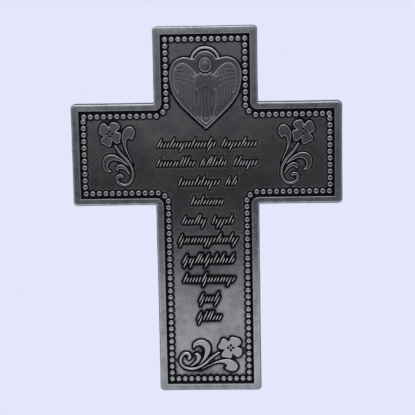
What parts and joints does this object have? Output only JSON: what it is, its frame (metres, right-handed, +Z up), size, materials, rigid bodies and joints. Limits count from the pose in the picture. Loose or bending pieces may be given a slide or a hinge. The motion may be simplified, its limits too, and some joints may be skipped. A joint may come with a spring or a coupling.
{
  "type": "metal memorial wall cross",
  "caption": "Small cast Latin cross that hangs on a nail, with a raised rim, a beaded border, a heart medallion, flower sprays and rows of relief strokes.",
  "frame": {"origin": "centre of the mouth of the blind nail hole, on the flat back face, 14.3 mm below the top edge", "axes": "+Z up towards the top of the cross, +Y out of the back towards the wall, so the decorated front faces -Y, +X to the right as seen from the front"},
  "size_m": [0.1108, 0.005, 0.1524],
  "materials": {
    "antique_pewter": "antique pewter finish on a zinc alloy casting, dark patina in the sunken parts, polished high points"
  },
  "bodies": {
    "root": {"upright": "antique_pewter", "left_arm": "antique_pewter", "right_arm": "antique_pewter"}
  },
  "joints": []
}
